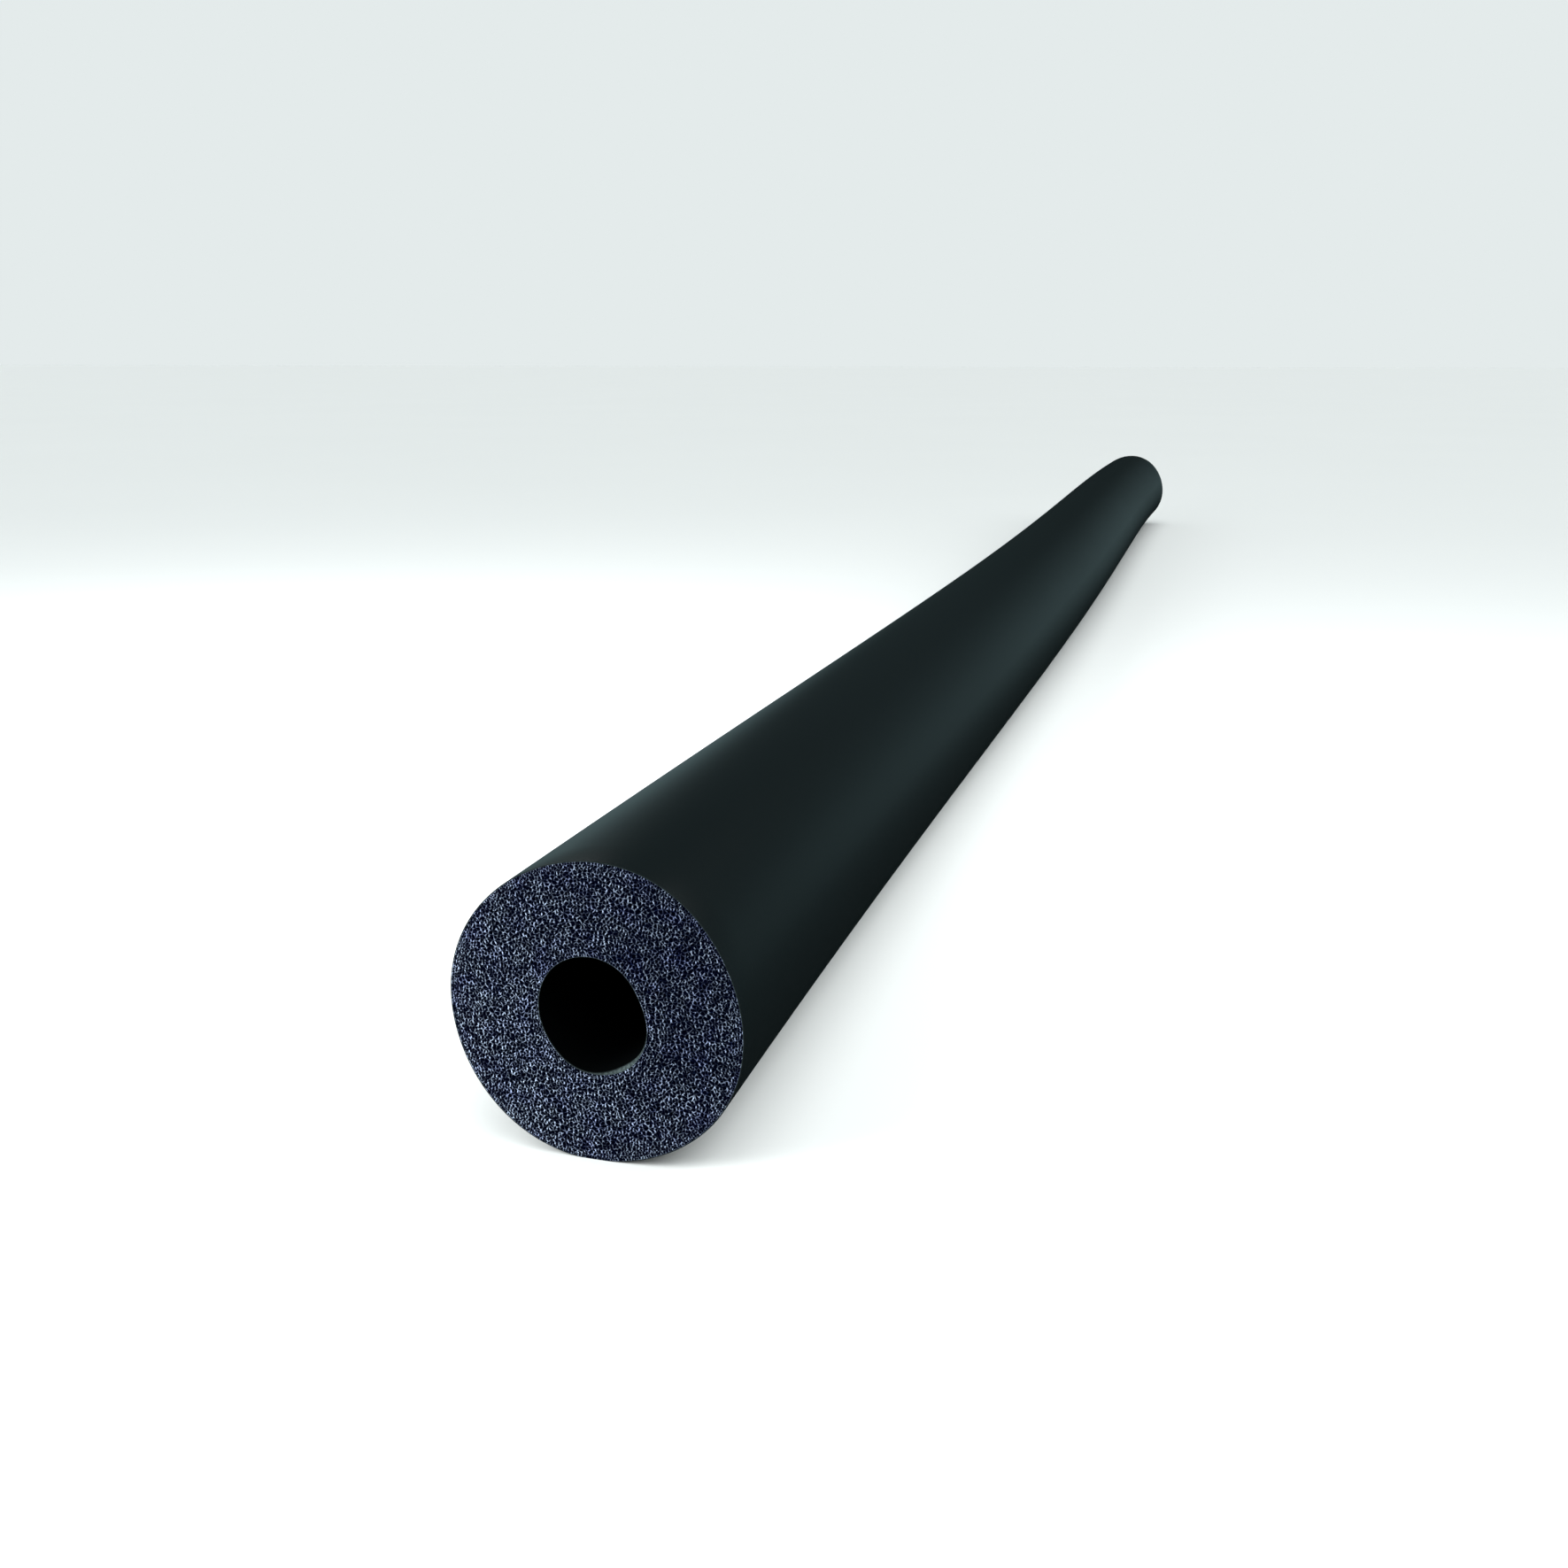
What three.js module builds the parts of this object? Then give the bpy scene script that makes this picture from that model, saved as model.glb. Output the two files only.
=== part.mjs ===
// Pipe insulation lagging: one length of closed-cell rubber foam tube, extruded in one piece and
// cut square at both ends. It lies on its side, unslit, with the slight bow that a flexible tube keeps.
// Millimetres, +Z up. The tube runs along Y. The origin is on the surface that it lies on, under its middle.
import * as THREE from "three";

// Driving dimensions
const LENGTH = 2000; // the length that such tube is sold in
const BORE = 35; // across the bore: the outside of the pipe that it goes on
const WALL = 30; // thickness of the foam
const BOW = 4; // how far the middle stands aside of a straight line between the ends
const BORE_OUT_OF_ROUND = 0.8; // the soft bore is this much longer than round, on the radius, one way
const BORE_LEAN = 16; // degrees that the bore's long way leans from upright, to -X

// How finely the round faces are divided
const SIDES = 48; // flats round the tube, a multiple of four so that it lies on one of them
const STEPS = 24; // stretches along the tube

// Worked out from the above
const BORE_RADIUS = BORE / 2;
const OUTER_RADIUS = BORE_RADIUS + WALL;
const AXIS_HEIGHT = OUTER_RADIUS * Math.cos(Math.PI / SIDES); // the axis is this far above its lowest flat
const FULL_TURN = 2 * Math.PI;

const rubberFoam = new THREE.MeshStandardMaterial({
  name: "rubber_foam",
  color: 0x1a2022,
  roughness: 0.6,
  metalness: 0,
});

// The tube's axis: a shallow parabola in the XY plane, with its middle out to +X by BOW.
// Half of BOW is taken off so that the tube's box is centred on the origin.
function bowedAxis() {
  const endX = -BOW / 2;
  return new THREE.QuadraticBezierCurve3(
    new THREE.Vector3(endX, -LENGTH / 2, AXIS_HEIGHT),
    new THREE.Vector3(endX + 2 * BOW, 0, AXIS_HEIGHT),
    new THREE.Vector3(endX, LENGTH / 2, AXIS_HEIGHT),
  );
}

// The section, with the outside round and the bore a little oval. Along the path, the shape's X points down
// and its Y to -X. The outside starts half a flat round, which puts a flat at the bottom.
function section() {
  const halfFlat = Math.PI / SIDES;
  const shape = new THREE.Shape().absarc(
    0,
    0,
    OUTER_RADIUS,
    halfFlat,
    halfFlat + FULL_TURN,
  );
  const lean = THREE.MathUtils.degToRad(-BORE_LEAN);
  const bore = new THREE.Path().absellipse(
    0,
    0,
    BORE_RADIUS + BORE_OUT_OF_ROUND,
    BORE_RADIUS - BORE_OUT_OF_ROUND,
    0,
    FULL_TURN,
    true,
    lean,
  );
  shape.holes.push(bore);
  return shape;
}

function foamTube() {
  const geometry = new THREE.ExtrudeGeometry(section(), {
    extrudePath: bowedAxis(),
    steps: STEPS,
    curveSegments: SIDES / 2,
  });
  const mesh = new THREE.Mesh(geometry, rubberFoam);
  mesh.name = "foam_tube";
  return mesh;
}

const lagging = new THREE.Group();
lagging.add(foamTube());

export default lagging;
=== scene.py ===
"""Pipe insulation lagging: one length of black closed-cell rubber foam tube, lying on a pale floor.

Metres, +Z up, the tube along Y. The near cut end is at -Y.
"""
import math

import bpy
import numpy as np
from mathutils.geometry import delaunay_2d_cdt
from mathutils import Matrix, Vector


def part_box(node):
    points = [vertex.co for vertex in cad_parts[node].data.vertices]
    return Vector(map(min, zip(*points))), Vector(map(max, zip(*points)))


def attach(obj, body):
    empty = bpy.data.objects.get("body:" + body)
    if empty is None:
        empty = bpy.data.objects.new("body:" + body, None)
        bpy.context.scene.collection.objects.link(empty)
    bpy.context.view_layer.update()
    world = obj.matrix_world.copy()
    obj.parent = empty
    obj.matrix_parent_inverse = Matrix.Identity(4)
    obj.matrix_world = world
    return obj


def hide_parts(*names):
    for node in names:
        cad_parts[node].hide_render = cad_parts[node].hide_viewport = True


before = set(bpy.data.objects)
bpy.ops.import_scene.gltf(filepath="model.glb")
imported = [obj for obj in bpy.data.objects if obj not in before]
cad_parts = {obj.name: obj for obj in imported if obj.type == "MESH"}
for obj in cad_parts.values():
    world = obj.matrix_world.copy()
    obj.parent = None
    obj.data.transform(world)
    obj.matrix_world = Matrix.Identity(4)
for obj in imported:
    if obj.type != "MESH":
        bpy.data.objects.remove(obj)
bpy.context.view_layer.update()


# The camera
# It stands to the right of the near cut end and a little above it, and looks down the tube's length, so the
# cut face is large at the lower left and the far end small at the upper right.
CAMERA_PLACE = (0.1762, -1.4099, 0.2374)
CAMERA_LOOKS_DOWN = 14.99  # degrees below level
CAMERA_LOOKS_ASIDE = 16.22  # degrees from +Y towards -X
CAMERA_LENS = 36.854  # millimetres
SENSOR_WIDTH = 36  # millimetres
CAMERA_SEES_TO = 200  # past the floor's far edge

camera = bpy.data.objects.new("camera", bpy.data.cameras.new("camera"))
camera.location = CAMERA_PLACE
camera.rotation_euler = (math.radians(90 - CAMERA_LOOKS_DOWN), 0, math.radians(CAMERA_LOOKS_ASIDE))
camera.data.lens = CAMERA_LENS
camera.data.sensor_width = SENSOR_WIDTH
camera.data.clip_end = CAMERA_SEES_TO
bpy.context.scene.collection.objects.link(camera)
bpy.context.scene.camera = camera


# The line and section of the tube
# The foam is pushed out of a die as one thick-walled round and cures loose, so it is never quite round, and
# its bore least of all. It lies with a slight bow, pressed flat by its weight where it rests on the floor.
MM = 0.001
LENGTH = 2000 * MM
SKIN_RADIUS = 47.5 * MM
BORE_RADIUS = 17.8 * MM  # the foam goes loosely over its 35 mm pipe
WALL = SKIN_RADIUS - BORE_RADIUS
# Waves round the section: the count of humps, their height as a share of the radius, the turn of one hump
SKIN_WAVES = ((2, 0.0100, 78), (3, 0.0050, -24), (4, 0.0070, 23))
BORE_WAVES = ((2, 0.0460, 72), (3, 0.0070, -44), (4, 0.0130, 19), (5, 0.0060, -15))
BORE_ASIDE = -0.7 * MM  # the bore's middle, from the skin's: to +X
BORE_ABOVE = -0.25 * MM  # and up
PRESSED_EDGE = 0.15 * MM  # how softly the round turns into the pressed flat
WAIST = 0.016  # how much slimmer the tube is between its ends, as a share of its radius
WAIST_LEANS = 1.835  # towards the near end: the higher, the nearer to the middle
STRAYS = (0.7 * MM, -2.9 * MM, -11.7 * MM)  # of the axis between its ends: even, leaning and bent

foam_low, foam_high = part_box("foam_tube")
axis_height = (foam_low.z + foam_high.z) / 2
bow = (foam_high.x - foam_low.x) - (foam_high.z - foam_low.z)  # it makes the tube's box wider than high


def waved(radius, waves, turn):
    """A radius that grows and shrinks round the section: a sum of cosines of the turn.

    Each wave has its count of humps, its height as a share of the radius, and the turn of one hump in
    degrees.
    """
    share = sum(height * np.cos(humps * (turn - math.radians(at))) for humps, height, at in waves)
    return radius * (1 + share)


def tube_point(wall, turn, run):
    """Points of the foam, from their places in the wall, round the section and along the axis.

    wall is 0 at the bore and 1 at the skin. turn starts at -X and goes over the top. run is measured from
    the tube's middle. The radius goes evenly from the waved bore to the waved skin, and draws in between
    the ends. The axis is a shallow parabola with a slight stray that is nothing at both ends, the section
    stands square to the parabola, and what would go under the floor is pressed flat.
    """
    share = 2 * run / LENGTH
    between = 1 - share**2
    drawn = 1 - WAIST * between * (WAIST_LEANS - share)
    bore = drawn * waved(BORE_RADIUS, BORE_WAVES, turn)
    skin = drawn * waved(SKIN_RADIUS, SKIN_WAVES, turn)
    radius = bore + (skin - bore) * wall
    right = BORE_ASIDE * (1 - wall) - radius * np.cos(turn)
    up = BORE_ABOVE * (1 - wall) + radius * np.sin(turn)
    stray = between * (STRAYS[0] + STRAYS[1] * share + STRAYS[2] * share**2)
    slope = -4 * bow * share / LENGTH
    square = 1 / np.sqrt(1 + slope**2)
    x = bow * (0.5 - share**2) + stray + right * square
    y = run - right * slope * square
    z = axis_height * drawn + up
    z = (z + np.sqrt(z**2 + PRESSED_EDGE**2)) / 2
    return np.stack(np.broadcast_arrays(x, y, z), axis=-1)


# The skin and the bore
# The outside and the bore are the foam's own smooth skin, a denser layer under half a millimetre thick. The
# cut goes square through it and leaves its edge as a thin ring round each end and each mouth of the bore.
SKIN_THICK = 0.35 * MM
BORE_SKIN_THICK = 0.18 * MM
EDGE_ROUND = 0.12 * MM  # of the cut edge of the skin
FACE_BED = 1.8 * MM  # depth of the bed that the cut face lies in
MOUTH_DEEP = 0.5 * MM  # how far the pale edge fades into the bore
LIP_WIDE = 0.92 * MM  # of the smooth lip at the bore's mouth, where the knife pressed the edge down; its pale colour is a painted highlight
LIP_AT = math.radians(237)  # turn of its middle
LIP_SPAN = math.radians(18)  # how soon it dies away to either side
LIP_SINKS = 2.5  # how deep it runs into the bore, as a share of its width
RING_PALE = 0.33  # how pale the cut edges are, as a share of the lip's painted highlight
RIM_PALE = 0.6  # of that, at the outer skin's edge and where the bore's turns inwards
CREASE = math.radians(50)  # from this angle up, an edge stays sharp
FULL_TURN = 2 * math.pi
ROUND_STEPS = 240  # round the section
RUN_STEPS = 120  # along the tube
EDGE_STEPS = 4  # round each cut edge


def lip(turn):
    """The width of the lip at the bore's mouth: a smooth hump round one turn, and nothing opposite."""
    return LIP_WIDE * np.exp((np.cos(turn - LIP_AT) - 1) / LIP_SPAN**2)


def end_profile():
    """The way over one cut end, from the skin to the bore, as rings round the section.

    A quarter round at the skin's edge, its flat cut, the bed of the cut face, and the same again at the
    bore, with one more ring inside its mouth. Each ring has how far in from the skin it is, how deep from
    the cut, how pale, how far it follows the lip outwards and how far it sinks with it.
    """
    bend = np.linspace(0, math.pi / 2, EDGE_STEPS + 1)
    aside, under = 1 - np.cos(bend), 1 - np.sin(bend)
    plain = np.zeros(EDGE_STEPS + 3)
    bore_edge = WALL - BORE_SKIN_THICK
    inset = [EDGE_ROUND * aside, [SKIN_THICK, SKIN_THICK, bore_edge, bore_edge]]
    inset += [WALL - EDGE_ROUND * aside[::-1], [WALL]]
    depth = [EDGE_ROUND * under, [0, FACE_BED, FACE_BED, 0], EDGE_ROUND * under[::-1], [MOUTH_DEEP]]
    pale = [0 * bend[1:], [RIM_PALE, RIM_PALE, 0, 0, 1], np.ones(EDGE_STEPS), [RIM_PALE, 0]]
    follows = [plain, [1, 1], aside[::-1], [0]]
    sinks = [plain, [0, 0], under[::-1], [LIP_SINKS]]
    return [np.concatenate(ring) for ring in (inset, depth, pale, follows, sinks)]


def skin_grid():
    """The whole skin as a closed profile of wall and run, carried round the section.

    The profile runs along the outside to the far end, over that end, back along the bore and over the near
    end. Returns the points, how pale each is, with a painted highlight on the lip at the bore's mouth, and
    whether it is in the bore past its mouth, which is painted near black as its shade.
    """
    inset, depth, pale, follows, sinks = end_profile()
    half = LENGTH / 2
    along = np.linspace(-half, half, RUN_STEPS + 1)[1:-1]
    none = np.zeros_like(along)
    wall = np.concatenate([none + 1, 1 - inset / WALL, none, 1 - inset[::-1] / WALL])[:, None]
    run = np.concatenate([along, half - depth, -along, depth[::-1] - half])[:, None]
    pale = np.concatenate([none, pale, none, pale[::-1]])[:, None]
    follows = np.concatenate([none, follows, none, follows[::-1]])[:, None]
    sinks = np.concatenate([none, -sinks, none, sinks[::-1]])[:, None]
    turn = np.arange(ROUND_STEPS)[None, :] * FULL_TURN / ROUND_STEPS
    points = tube_point(wall + follows * lip(turn) / WALL, turn, run + sinks * lip(turn))
    by_bore = wall < 0.5
    # The lip is painted pale as a highlight, as if light fell into the bore's mouth there.
    lip_highlight = np.where(by_bore, lip(turn) / LIP_WIDE, 0)
    # The bore past its mouth is marked here, to be painted near black as its shade.
    inside = np.broadcast_to((wall == 0) & (pale == 0), lip_highlight.shape)
    return points, pale * (RING_PALE + (1 - RING_PALE) * lip_highlight), inside


def wrapped_quads(rows, columns):
    """Quads over a grid of points that closes on itself both ways."""
    row, column = np.meshgrid(np.arange(rows), np.arange(columns), indexing="ij")
    next_row, next_column = (row + 1) % rows, (column + 1) % columns
    corners = ((row, column), (row, next_column), (next_row, next_column), (next_row, column))
    return np.stack([r * columns + c for r, c in corners], axis=-1).reshape(-1, 4)


def mesh_piece(name, points, faces, material):
    """A mesh object from an array of points and one of faces, smooth all over."""
    mesh = bpy.data.meshes.new(name)
    mesh.from_pydata(points.reshape(-1, 3), [], faces.tolist())
    mesh.polygons.foreach_set("use_smooth", np.ones(len(mesh.polygons), bool))
    mesh.materials.append(material)
    mesh.update()
    piece = bpy.data.objects.new(name, mesh)
    bpy.context.scene.collection.objects.link(piece)
    return piece


def add_values(piece, name, values):
    """One number for each point of a piece, under a name that its material reads."""
    layer = piece.data.attributes.new(name, "FLOAT", "POINT")
    layer.data.foreach_set("value", np.ascontiguousarray(values, np.float32))


def new_material(name):
    """A new material: itself, its node tree, its main shader, and the place on the piece in metres."""
    material = bpy.data.materials.new(name)
    material.use_nodes = True
    tree = material.node_tree
    place = tree.nodes.new("ShaderNodeTexCoord").outputs["Object"]
    return material, tree, tree.nodes["Principled BSDF"], place


def attribute(tree, name):
    """The numbers that add_values gave a piece under a name."""
    node = tree.nodes.new("ShaderNodeAttribute")
    node.attribute_name = name
    return node.outputs["Fac"]


def stretched(tree, place, scale):
    """A place with each of its three parts times its own scale."""
    node = tree.nodes.new("ShaderNodeMapping")
    node.inputs["Scale"].default_value = scale
    tree.links.new(place, node.inputs["Vector"])
    return node.outputs["Vector"]


def noise(tree, place, scale, detail):
    """A cloudy pattern round one half: scale is its clouds to the metre, detail its layers of finer ones."""
    node = tree.nodes.new("ShaderNodeTexNoise")
    node.inputs["Scale"].default_value = scale
    node.inputs["Detail"].default_value = detail
    tree.links.new(place, node.inputs["Vector"])
    return node.outputs["Fac"]


def ranged(tree, value, given, wanted, smooth=False):
    """A value that goes from one given end to the other, turned into the wanted ends and held past them.

    It goes evenly between them, or softly near both where smooth.
    """
    node = tree.nodes.new("ShaderNodeMapRange")
    if smooth:
        node.interpolation_type = "SMOOTHSTEP"
    node.inputs["From Min"].default_value, node.inputs["From Max"].default_value = given
    node.inputs["To Min"].default_value, node.inputs["To Max"].default_value = wanted
    tree.links.new(value, node.inputs["Value"])
    return node.outputs["Result"]


def calculated(tree, operation, *terms):
    """The result of one operation on its terms, each a socket or a plain number."""
    node = tree.nodes.new("ShaderNodeMath")
    node.operation = operation
    for socket, term in zip(node.inputs, terms):
        if isinstance(term, float):
            socket.default_value = term
        else:
            tree.links.new(term, socket)
    return node.outputs["Value"]


def mixed(tree, share, first, second):
    """A blend of two colours, each given as its red, green and blue or as a socket: share 0 is the first."""
    node = tree.nodes.new("ShaderNodeMix")
    node.data_type = "RGBA"
    tree.links.new(share, node.inputs["Factor"])
    for name, colour in (("A", first), ("B", second)):
        if isinstance(colour, tuple):
            node.inputs[name].default_value = (*colour, 1)
        else:
            tree.links.new(colour, node.inputs[name])
    return node.outputs["Result"]


def bumped(tree, height, strength, distance, under=None):
    """The surface's direction with a small relief: a pattern's height times a distance, over another one."""
    node = tree.nodes.new("ShaderNodeBump")
    node.inputs["Strength"].default_value = strength
    node.inputs["Distance"].default_value = distance
    tree.links.new(height, node.inputs["Height"])
    if under is not None:
        tree.links.new(under, node.inputs["Normal"])
    return node.outputs["Normal"]


def rubber_skin():
    """Black rubber with a green cast and a dull sheen.

    It has faint long clouds, paler cut edges mottled by its grain, a painted highlight on the lip at the
    bore's mouth, a bore painted near black past its mouth as its shade, a sheen that is duller near the
    floor, a fine grain, and faint lines that the die drew along the tube.
    """
    material, tree, shader, place = new_material("rubber_skin")
    shader.inputs["Specular IOR Level"].default_value = 0.05
    shader.inputs["Specular Tint"].default_value = (0.78, 1.0, 1.0, 1)

    cloud = noise(tree, stretched(tree, place, (14, 2, 14)), 1, 4)
    black = mixed(tree, cloud, (0.0034, 0.0055, 0.0061), (0.0049, 0.0076, 0.0082))
    grain = noise(tree, place, 1100, 3)
    mottle = ranged(tree, grain, (0.35, 0.65), (0.35, 1.1))
    # The cut edges are pale, and the lip at the bore's mouth paler still as a painted highlight.
    paleness = calculated(tree, "MULTIPLY", attribute(tree, "edge_pale_and_lip_highlight"), mottle)
    edged = mixed(tree, paleness, black, (0.064, 0.087, 0.088))
    # The bore past its mouth is painted near black, as its shade.
    deep = mixed(tree, attribute(tree, "inside"), edged, (0.0006, 0.0008, 0.0010))
    tree.links.new(deep, shader.inputs["Base Color"])

    height = tree.nodes.new("ShaderNodeSeparateXYZ")
    tree.links.new(place, height.inputs["Vector"])
    dusty = ranged(tree, height.outputs["Z"], (15 * MM, 60 * MM), (0.30, 0.0))
    dull = calculated(tree, "ADD", ranged(tree, cloud, (0, 1), (0.32, 0.42)), dusty)
    tree.links.new(dull, shader.inputs["Roughness"])

    line = noise(tree, stretched(tree, place, (260, 5, 260)), 1, 2)
    relief = bumped(tree, line, 0.25, 0.05 * MM, bumped(tree, grain, 0.35, 0.05 * MM))
    tree.links.new(relief, shader.inputs["Normal"])
    return material


points, edge_pale_and_lip_highlight, inside = skin_grid()
tube_skin = mesh_piece("tube_skin", points, wrapped_quads(*points.shape[:2]), rubber_skin())
tube_skin.data.set_sharp_from_angle(angle=CREASE)
add_values(tube_skin, "edge_pale_and_lip_highlight", edge_pale_and_lip_highlight.ravel())
add_values(tube_skin, "inside", inside.ravel())
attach(tube_skin, "root")
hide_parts("foam_tube")


# The two cut faces
# A knife goes square through about five thousand closed cells at each end. Each is left as a small open pit,
# dark inside, and the thin walls between the pits stand up as a wiry net, whose cut edges catch the light.
# Here the pits' dark is partly painted shade, and the walls' glints are painted as a pale colour.
CELL_PITCH = 1.16 * MM  # between the middles of cells, halfway through the wall
FINEST_CELL = 0.70  # of that, at the skin and at the bore
FINE_BY_SKIN = 2.4 * MM  # how far in from the skin the cells are finer
FINE_BY_BORE = 1.2 * MM
ROW_STEP = 0.87  # from one ring of cells to the next, as a share of the pitch
CELL_STRAY = 0.36  # how far a cell strays from even places, as a share of the pitch
EDGE_STRAY = CELL_STRAY / 3  # in or out, in the first and the last ring
MISSING_CELLS = 0.18  # share of the places whose cell has run together with its neighbours
FACE_DEPTH = 2.0 * MM  # thickness of the cut face's piece, which is more than its bed
FACE_OUTER = SKIN_RADIUS - SKIN_THICK
FACE_INNER = BORE_RADIUS + BORE_SKIN_THICK
FACE_MIDDLE = (FACE_OUTER + FACE_INNER) / 2
LIP_PUSH = 6  # the higher, the nearer to the lip are the only cells that it pushes aside
MIRRORED = 2.4 * MM  # cells this near an edge are mirrored in it, which makes the edge a clean wall
SAME_PLACE = 1e-6  # millimetres: places that lie nearer together are one
TINY = 1e-12  # keeps a division by a length from failing


def pitch_at(radius):
    """The distance between cells at a radius: widest in the wall, and finer by both skins.

    It is the full pitch less a share that dies away with the distance from either edge.
    """
    near_edge = np.exp((radius - FACE_OUTER) / FINE_BY_SKIN) + np.exp((FACE_INNER - radius) / FINE_BY_BORE)
    return CELL_PITCH * (1 - (1 - FINEST_CELL) * np.minimum(near_edge, 1))


def cell_places(random):
    """The middles of the cells, in the plane of a true round section: rings of even places, each strayed.

    The rings lie a share of the pitch apart, stretched so that the last is half a pitch from the skin, and
    each has as many places as the pitch goes round it. Some places of the rings between are left out.
    """
    rings = [FACE_INNER + pitch_at(FACE_INNER) / 2]
    while rings[-1] < FACE_OUTER:
        rings.append(rings[-1] + ROW_STEP * pitch_at(rings[-1]))
    rings = np.array(rings)
    last = FACE_OUTER - pitch_at(FACE_OUTER) / 2
    rings = rings[0] + (rings - rings[0]) * (last - rings[0]) / (rings[-1] - rings[0])
    pitch = pitch_at(rings)
    counts = np.round(FULL_TURN * rings / pitch).astype(int)
    ring = np.repeat(np.arange(len(rings)), counts)
    place = np.arange(len(ring)) - np.repeat(np.cumsum(counts) - counts, counts)
    between = (ring > 0) & (ring < len(rings) - 1)
    stray = np.where(between, CELL_STRAY, EDGE_STRAY) * pitch[ring]
    radius = rings[ring] + stray * random.uniform(-1, 1, len(ring))
    turn = (place + random.random(len(rings))[ring]) * FULL_TURN / counts[ring]
    turn += CELL_STRAY * pitch[ring] / radius * random.uniform(-1, 1, len(ring))
    kept = ~between | (random.random(len(ring)) > MISSING_CELLS)
    return radius[kept], turn[kept]


def cross(a, b):
    """The height of the cross product of flat directions: positive where b turns left of a."""
    return a[:, 0] * b[:, 1] - a[:, 1] * b[:, 0]


def cell_net(random):
    """The net between the cells: every point of it is as far from one middle as from the neighbour's.

    The middles, and their mirror images past both edges, are joined into triangles. Each triangle's
    circumcentre is a knot of the net, and each side that two triangles share is a wall between two cells.
    Returns the middles, the triangles' corners and the knots.
    """
    radius, turn = cell_places(random)
    by_skin = FACE_OUTER - radius < MIRRORED
    by_bore = radius - FACE_INNER < MIRRORED
    radius = np.concatenate([radius, 2 * FACE_OUTER - radius[by_skin], 2 * FACE_INNER - radius[by_bore]])
    turn = np.concatenate([turn, turn[by_skin], turn[by_bore]])
    flat = np.stack([radius * np.cos(turn), radius * np.sin(turn)], axis=1) / MM
    found, _, sides, *_ = delaunay_2d_cdt(flat.tolist(), [], [], 0, SAME_PLACE)
    middles = np.array(found) * MM
    corners = np.array(sides)
    a, b, c = middles[corners.T]
    corners = np.where((cross(b - a, c - a) > 0)[:, None], corners, corners[:, ::-1])
    a, b, c = middles[corners.T]
    ab, ac = b - a, c - a
    ab2, ac2 = (ab**2).sum(1), (ac**2).sum(1)
    aside = np.stack([ac[:, 1] * ab2 - ab[:, 1] * ac2, ab[:, 0] * ac2 - ac[:, 0] * ab2], axis=1)
    return middles, corners, a + aside / (2 * cross(ab, ac))[:, None]


def cell_sides(corners, real):
    """The sides of the real cells, as numbers in the list of all triangles' sides, and each one's twin.

    A triangle's side runs from one middle to the next, and belongs to the cell that it runs to. Its twin
    runs the other way in the triangle beyond, so the two triangles' knots are the ends of one wall. The
    numbers of a side's two middles, joined into one key, find the twin.
    """
    tail, head = corners.ravel(), np.roll(corners, -1, axis=1).ravel()
    key, other_key = tail * len(real) + head, head * len(real) + tail
    order = np.argsort(key)
    twin = order[np.minimum(np.searchsorted(key[order], other_key), len(order) - 1)]
    side = np.flatnonzero(real[head] & (key[twin] == other_key))
    return side, twin[side]


def on_face(flat, at_edge):
    """Flat points, those at an edge moved straight to the nearer edge of the face, and none left past it."""
    reach = np.linalg.norm(flat, axis=1)
    nearer = np.where(reach > FACE_MIDDLE, FACE_OUTER, FACE_INNER)
    held = np.where(at_edge, nearer, np.clip(reach, FACE_INNER, FACE_OUTER))
    return flat * (held / np.maximum(reach, TINY))[:, None]


WALL_HALF = 0.085 * MM  # half the width of a wall's cut edge
WALL_THIN, WALL_THICK = 0.42, 2.7  # times that, where a wall is dull and where it glints
WALL_MOST = 0.26  # the most that it takes of the way to the cell's heart
WALL_FADES = 0.7  # how much of the wall's colour is left at its inner edge, before it turns to the pit's painted shade
WALL_RISE = 0.10 * MM  # how far the knots stand proud of the cut or lie under it
WALL_SAG = 0.12 * MM  # how far a wall dips between its knots, at most
WALL_SWAY = 0.12  # how far it sways aside there, as a share of its length
PIT_DEPTH = (0.90, 1.60)  # of the shallowest and the deepest pit, as shares of its radius
# The glints are painted highlights: a glinting wall gets a pale colour in place of a shine.
GLINT_RARE = 1.5  # the higher, the fewer walls get a painted glint
UPRIGHT_LEAST = 0.05  # how much a level wall's painted glint shows, as a share of an upright one's
KNOT_BRIGHT = 0.62  # how much a knot's painted glint shows, as a share of an upright wall's
PAINTED_LIGHT_SIDE = 0.36  # painted light: how much brighter the walls' glints are on the lit side, and dimmer opposite
PAINTED_LIGHT_TURN = math.radians(-35)  # turn of the lit side


def wall_edge(start, heart, bright):
    """Points set towards their cell's heart by half a wall, which is thicker where it is bright."""
    to_heart = heart - start
    half = WALL_HALF * (WALL_THIN + (WALL_THICK - WALL_THIN) * bright)
    share = np.minimum(half / np.maximum(np.linalg.norm(to_heart, axis=1), TINY), WALL_MOST)
    return start + to_heart * share[:, None]


def flat_back(border, first_number):
    """Triangles between the outer and the inner loop of a mat's back, which looks the other way.

    Each stretch of a loop makes one triangle with the last point of the other loop that its end has passed.
    The points are numbered from a first number on.
    """
    turn, reach = np.arctan2(border[:, 1], border[:, 0]), np.linalg.norm(border, axis=1)
    loops = [np.flatnonzero(side) for side in (reach > FACE_MIDDLE, reach < FACE_MIDDLE)]
    outer, inner = (loop[np.argsort(turn[loop])] for loop in loops)
    outer_next, inner_next = np.roll(outer, -1), np.roll(inner, -1)
    passed_inner = inner[np.searchsorted(turn[inner], turn[outer_next], side="right") - 1]
    passed_outer = outer[np.searchsorted(turn[outer], turn[inner_next], side="left") - 1]
    triangles = ((outer_next, outer, passed_inner), (inner, inner_next, passed_outer))
    return [tuple(first_number + corner for corner in triangle) for triangle in triangles]


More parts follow.
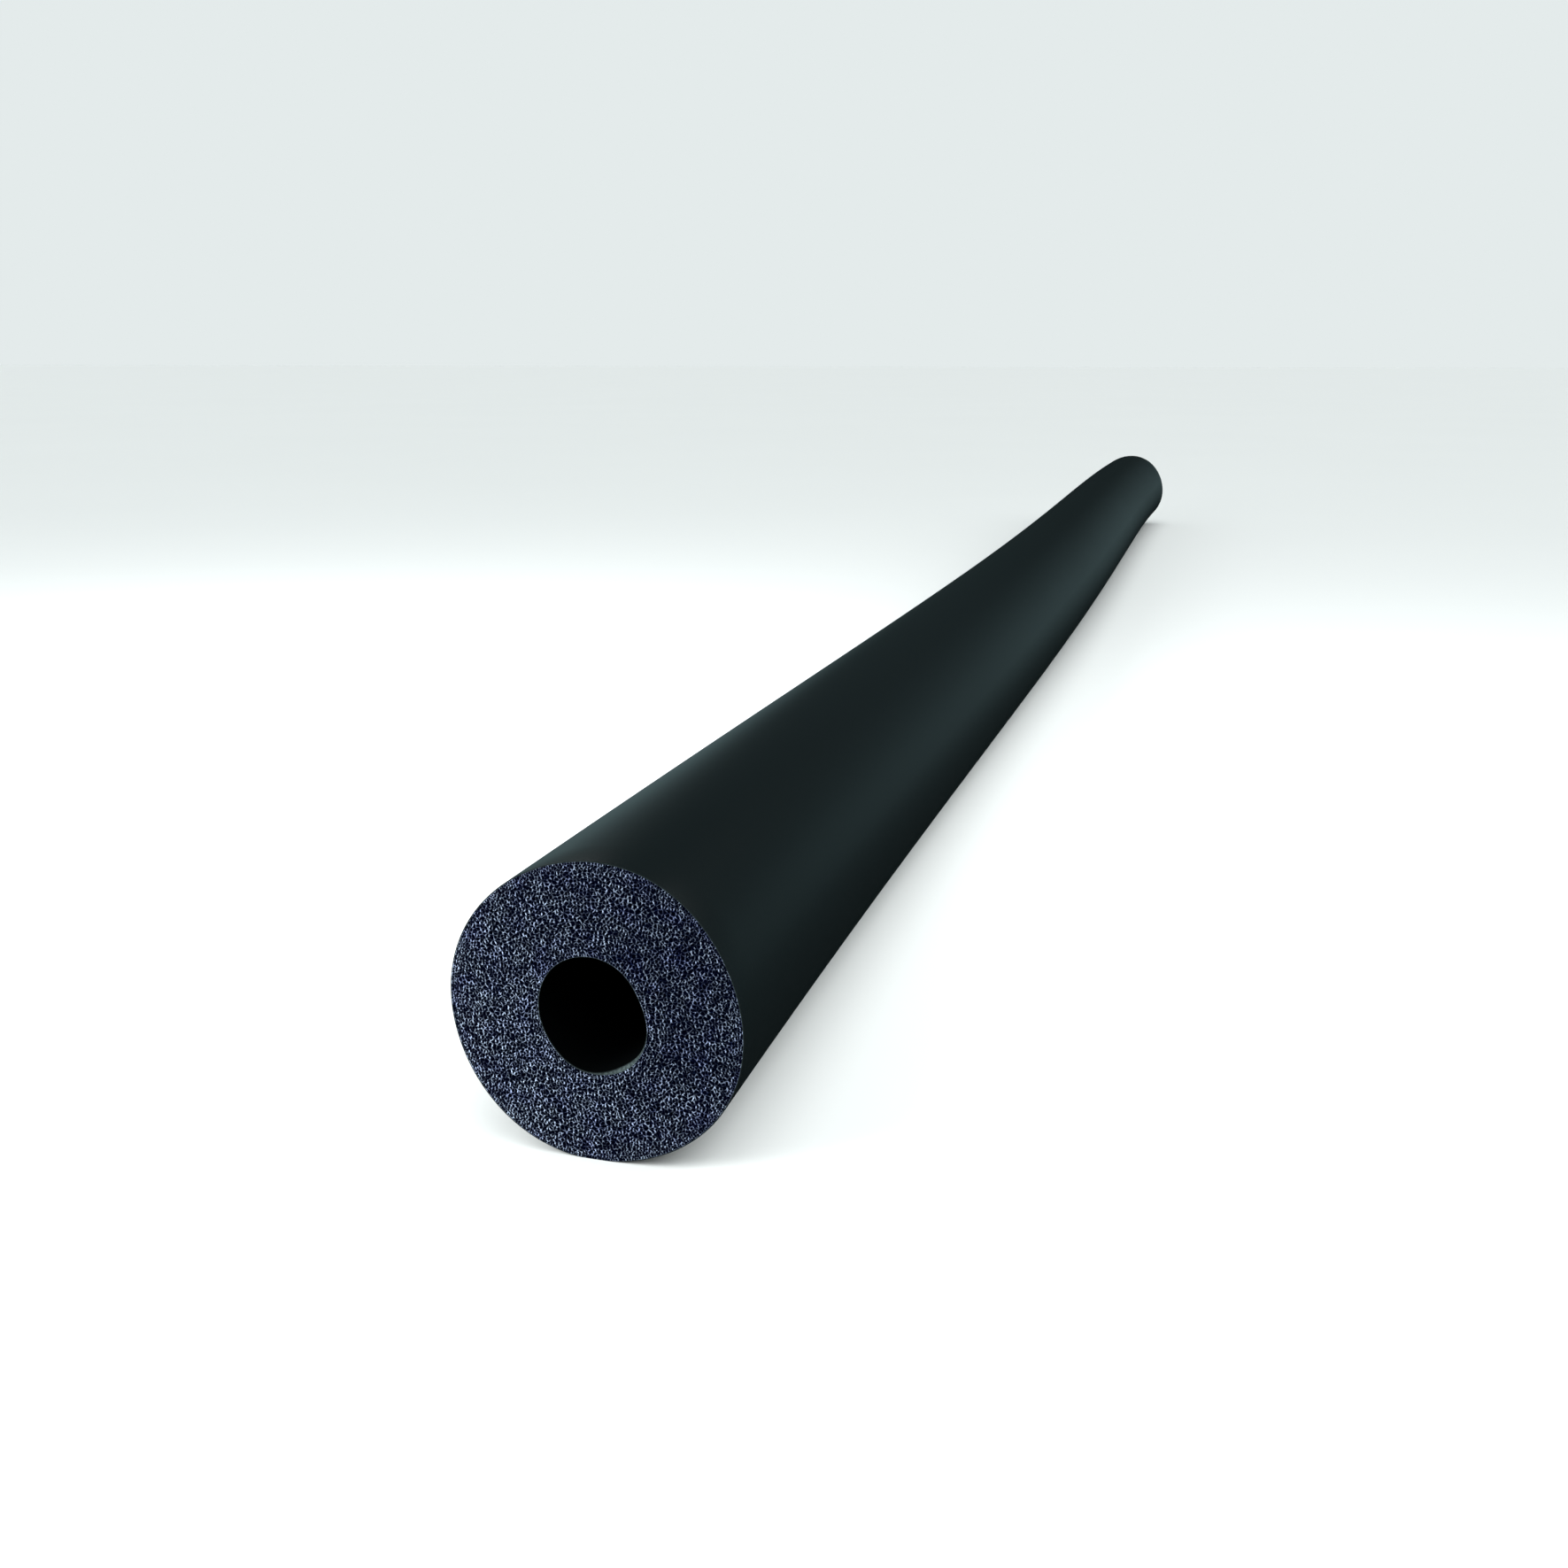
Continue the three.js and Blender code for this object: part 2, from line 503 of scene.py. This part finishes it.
def cut_cells(random):
    """The relief of a cut face, in the plane of a true round section.

    Each cell has a ring of knots, with a dip halfway along each wall between them. The wall's inner edge
    lies half a wall from them towards the cell's heart, and the pit goes down from there to its bottom under
    the heart. Returns for each point its flat place, its height, how much of it is wall, where the rest is
    painted as the pit's shade, how much painted glint it has and how blue, and the triangles.
    """
    middles, corners, knots = cell_net(random)
    reach = np.linalg.norm(middles, axis=1)
    real = (reach > FACE_INNER) & (reach < FACE_OUTER)
    at_edge = real[corners].any(1) & ~real[corners].all(1)
    knots = on_face(knots, at_edge)
    knot_height = np.where(at_edge, 0, WALL_RISE * random.uniform(-1, 1, len(knots)))
    knot_bright = KNOT_BRIGHT * random.random(len(knots)) ** GLINT_RARE

    # Each side of a cell: the cell, the two knots, and the cell's own corner at each
    side, twin = cell_sides(corners, real)
    cell, neighbour = corners.ravel()[twin], corners.ravel()[side]
    first, second = side // 3, twin // 3
    first_corner, second_corner = 3 * first + (side + 1) % 3, twin

    # Each wall, and the dip halfway along it
    _, one_side, wall = np.unique(np.minimum(side, twin), return_index=True, return_inverse=True)
    edge_wall = ~real[neighbour[one_side]]
    start, end = first[one_side], second[one_side]
    along = knots[end] - knots[start]
    length = np.linalg.norm(along, axis=1)
    sway = random.uniform(-WALL_SWAY, WALL_SWAY, len(length))
    dip = (knots[start] + knots[end]) / 2 + sway[:, None] * np.stack([-along[:, 1], along[:, 0]], axis=1)
    dip = on_face(dip, edge_wall)
    sag = WALL_SAG * random.random(len(length))
    dip_height = (knot_height[start] + knot_height[end]) / 2 - np.where(edge_wall, 0, sag)
    # Upright walls get more painted glint, as if the light came from the sides
    upright = np.abs(along[:, 1]) / np.maximum(length, TINY)
    shows = UPRIGHT_LEAST + (1 - UPRIGHT_LEAST) * upright**2
    dip_bright = shows * random.random(len(length)) ** GLINT_RARE

    # Each cell's heart and size, where a long wall counts for more, its depth and its blue
    weight, rim = length[wall], dip[wall]
    total = np.bincount(cell, weight, len(middles)) + TINY
    heart = np.stack([np.bincount(cell, weight * part, len(middles)) / total for part in rim.T], axis=1)
    size = np.bincount(cell, weight * np.linalg.norm(rim - heart[cell], axis=1), len(middles)) / total
    depth = size * random.uniform(*PIT_DEPTH, len(middles))
    blue = random.random(len(middles))

    # The points: knots, dips, the wall's inner edge at both, and the bottoms of the pits
    corner_knot = np.repeat(np.arange(len(knots)), 3)
    corner_bright = knot_bright[corner_knot]
    corner_edge = wall_edge(knots[corner_knot], heart[corners.ravel()], corner_bright)
    dip_edge = wall_edge(rim, heart[cell], dip_bright[wall])
    blocks = [
        (knots, knot_height, 1.0, knot_bright, 0.5),
        (dip, dip_height, 1.0, dip_bright, 0.5),
        (corner_edge, knot_height[corner_knot], WALL_FADES, corner_bright, 0.5),
        (dip_edge, dip_height[wall], WALL_FADES, dip_bright[wall], 0.5),
        (heart, -depth, 0.0, 0.0, blue),
    ]
    starts = np.cumsum([0] + [len(block[0]) for block in blocks])
    flat = np.concatenate([block[0] for block in blocks])
    columns = [np.concatenate([np.broadcast_to(b[k], len(b[0])) for b in blocks]) for k in (1, 2, 3, 4)]

    # The triangles: for each side of a cell, four over the wall and two down the pit
    dips = starts[1] + wall
    edge_1, edge_2 = starts[2] + first_corner, starts[2] + second_corner
    edge_dip = starts[3] + np.arange(len(side))
    bottom = starts[4] + cell
    triangles = [
        (first, dips, edge_dip),
        (first, edge_dip, edge_1),
        (dips, second, edge_2),
        (dips, edge_2, edge_dip),
        (edge_1, edge_dip, bottom),
        (edge_dip, edge_2, bottom),
    ]

    # The mat's own thickness: its edges at the skin and the bore, carried down to its back
    bare = edge_wall[wall]
    begins = np.concatenate([first[bare], dips[bare]])
    ends = np.concatenate([dips[bare], second[bare]])
    border = np.unique(begins)
    under_begins = len(flat) + np.searchsorted(border, begins)
    under_ends = len(flat) + np.searchsorted(border, ends)
    triangles += [(ends, begins, under_begins), (ends, under_begins, under_ends)]
    triangles += flat_back(flat[border], len(flat))
    flat = np.concatenate([flat, flat[border]])
    at_back = (-FACE_DEPTH, 0.0, 0.0, 0.5)
    columns = [np.append(column, np.full(len(border), value)) for column, value in zip(columns, at_back)]

    triangles = np.concatenate([np.stack(corner, axis=1) for corner in triangles])
    used, triangles = np.unique(triangles, return_inverse=True)
    return flat[used], *(column[used] for column in columns), triangles.reshape(-1, 3)


def cut_foam():
    """Cut foam: pits of a deep navy black between thin grey walls, some of which carry painted glints.

    The glints are a pale colour in place of a shine, and the pits are darker than the rubber as painted
    shade. Patches about a centimetre wide are brighter or darker, others bluer, and finer painted shade
    darkens blotches of the net, as if they lay in shadow.
    """
    material, tree, shader, place = new_material("cut_foam")
    shader.inputs["Roughness"].default_value = 0.42
    shader.inputs["Specular IOR Level"].default_value = 0.002

    patch = ranged(tree, noise(tree, place, 95, 2), (0.32, 0.68), (0.74, 1.30))
    tint = ranged(tree, noise(tree, place, 140, 1), (0.44, 0.72), (0.0, 1.0))
    # Painted shade: fine blotches where the net is darkened, as if those walls lay in shadow
    painted_shade = ranged(tree, noise(tree, place, 820, 1), (0.38, 0.60), (0.06, 1.0))
    dull = mixed(tree, tint, (0.0024, 0.0070, 0.024), (0.0032, 0.0064, 0.039))
    # Painted glint: the pale colour that glinting walls get in place of a shine
    painted_glint = mixed(tree, tint, (0.63, 0.77, 1.0), (0.52, 0.63, 1.0))
    walls = mixed(tree, calculated(tree, "MULTIPLY", attribute(tree, "bright"), patch), dull, painted_glint)
    # The pits: the rubber's navy black, darker still as painted shade
    pits = mixed(tree, attribute(tree, "blue"), (0.0001, 0.0005, 0.0026), (0.0002, 0.0005, 0.0070))
    # Down a pit's side the colour turns quickly from the wall's to the pit's painted shade
    net = ranged(tree, attribute(tree, "wall"), (0.58, 0.72), (0.0, 1.0))
    foam = mixed(tree, calculated(tree, "MULTIPLY", net, painted_shade), pits, walls)
    tree.links.new(foam, shader.inputs["Base Color"])
    return material


foam_cut = cut_foam()
for name, end, seed in (("near_cut_face", -1, 11), ("far_cut_face", 1, 12)):
    flat, height, wall_share, bright, blue, triangles = cut_cells(np.random.default_rng(seed))
    reach = np.linalg.norm(flat, axis=1)
    turn = np.arctan2(flat[:, 1], flat[:, 0])
    by_bore = ((FACE_OUTER - reach) / (FACE_OUTER - FACE_INNER)) ** LIP_PUSH
    wall = (reach - BORE_RADIUS + lip(turn) * by_bore) / WALL
    # Painted light: the glints are brighter towards one side of the face, as if lit from there
    bright = bright * (1 + PAINTED_LIGHT_SIDE * np.cos(turn - PAINTED_LIGHT_TURN))
    points = tube_point(wall, turn, end * (LENGTH / 2 + height))
    face = mesh_piece(name, points, triangles if end > 0 else triangles[:, ::-1], foam_cut)
    for layer, values in (("wall", wall_share), ("bright", bright), ("blue", blue)):
        add_values(face, layer, values)
    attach(face, "root")
    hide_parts("foam_tube")


# The floor
# A plain pale matt floor, so wide that its edge is the horizon. It isn't part of the object, and the tube
# doesn't mirror it, only the surround.
FLOOR_HALF = 30.0


def floor_paint():
    """A pale matt floor with a faint cloudiness."""
    material, tree, shader, place = new_material("floor_paint")
    paint = mixed(tree, noise(tree, place, 1.5, 2), (0.84, 0.88, 0.872), (0.86, 0.90, 0.892))
    tree.links.new(paint, shader.inputs["Base Color"])
    shader.inputs["Roughness"].default_value = 0.8
    return material


floor_corners = np.array([[-1, -1, 0], [1, -1, 0], [1, 1, 0], [-1, 1, 0]]) * FLOOR_HALF
floor = mesh_piece("floor", floor_corners, np.array([[0, 1, 2, 3]]), floor_paint())
floor.visible_glossy = False


# The light
# Two broad suns from the near end's side, a strong one from the right and a weak one from the left, a soft
# box before the cut face, and one over the floor on either side of the tube, which keep its shadow pale.
SUNS = (
    # name, degrees above level, degrees from +X towards +Y, strength, width across in degrees
    ("right_light", 58, -25, 2.9, 90),
    ("left_light", 46, 212, 0.6, 100),
)
for name, above, around, strength, broad in SUNS:
    lamp = bpy.data.lights.new(name, "SUN")
    lamp.energy = strength
    lamp.angle = math.radians(broad)
    lamp_object = bpy.data.objects.new(name, lamp)
    lamp_object.rotation_euler = (math.radians(90 - above), 0, math.radians(around + 90))
    bpy.context.scene.collection.objects.link(lamp_object)

SOFTBOXES = (
    # name, place, degrees below level that it faces, and degrees from +X towards +Y, size, watts
    ("face_softbox", (-0.75, -1.50, 0.45), 28, 35, 0.6, 12.5),
    ("left_floor_softbox", (-0.55, -0.50, 0.60), 82, 0, 0.5, 3),
    ("right_floor_softbox", (0.50, -0.60, 0.60), 82, 180, 0.5, 3),
)
for name, place, below, around, size, watts in SOFTBOXES:
    lamp = bpy.data.lights.new(name, "AREA")
    lamp.size = size
    lamp.energy = watts
    lamp_object = bpy.data.objects.new(name, lamp)
    lamp_object.location = place
    lamp_object.rotation_euler = (math.radians(90 - below), 0, math.radians(around - 90))
    bpy.context.scene.collection.objects.link(lamp_object)


# The surround
# To the camera it is plain and pale. As light it is dark, except for a pale band low down all round, with a
# gap off each end of the tube, so the skin has a low sheen that fades to the far end, and a black top.
PALE_BELOW = math.sin(math.radians(3))  # up to this height above or below level the band is full
DARK_ABOVE = math.sin(math.radians(12))  # and past this one it is gone
GAP_LEFT = (-0.27, -0.44)  # across, from where the gap ends on its left to where the band is full again
GAP_RIGHT = (-0.05, 0.07)  # and on its right
BAND_LEFT, BAND_RIGHT, DARK = 0.60, 0.30, 0.055  # strengths as light
SEEN_STRENGTH = 0.84  # to the camera


def surround():
    """The world's light: a plain strength for the camera, and for all else a dark one with a pale band.

    The band's strength is its share by height, times the sum of its left and right parts' shares by the
    distance across, on top of the dark strength.
    """
    world = bpy.data.worlds.new("surround")
    world.use_nodes = True
    tree = world.node_tree
    split = tree.nodes.new("ShaderNodeSeparateXYZ")
    tree.links.new(tree.nodes.new("ShaderNodeTexCoord").outputs["Generated"], split.inputs["Vector"])
    across = split.outputs["X"]
    height = calculated(tree, "ABSOLUTE", split.outputs["Z"])

    low = ranged(tree, height, (DARK_ABOVE, PALE_BELOW), (0.0, 1.0), smooth=True)
    left = ranged(tree, across, GAP_LEFT, (0.0, BAND_LEFT), smooth=True)
    right = ranged(tree, across, GAP_RIGHT, (0.0, BAND_RIGHT), smooth=True)
    band = calculated(tree, "MULTIPLY", low, calculated(tree, "ADD", left, right))
    seen = tree.nodes.new("ShaderNodeLightPath").outputs["Is Camera Ray"]
    strength = tree.nodes.new("ShaderNodeMix")
    strength.inputs["B"].default_value = SEEN_STRENGTH
    tree.links.new(seen, strength.inputs["Factor"])
    tree.links.new(calculated(tree, "ADD", band, DARK), strength.inputs["A"])
    tree.links.new(strength.outputs["Result"], tree.nodes["Background"].inputs["Strength"])
    colour = mixed(tree, seen, (0.62, 0.95, 1.0), (0.924, 0.989, 0.989))
    tree.links.new(colour, tree.nodes["Background"].inputs["Color"])
    return world


bpy.context.scene.world = surround()
bpy.context.scene.view_settings.view_transform = "Standard"
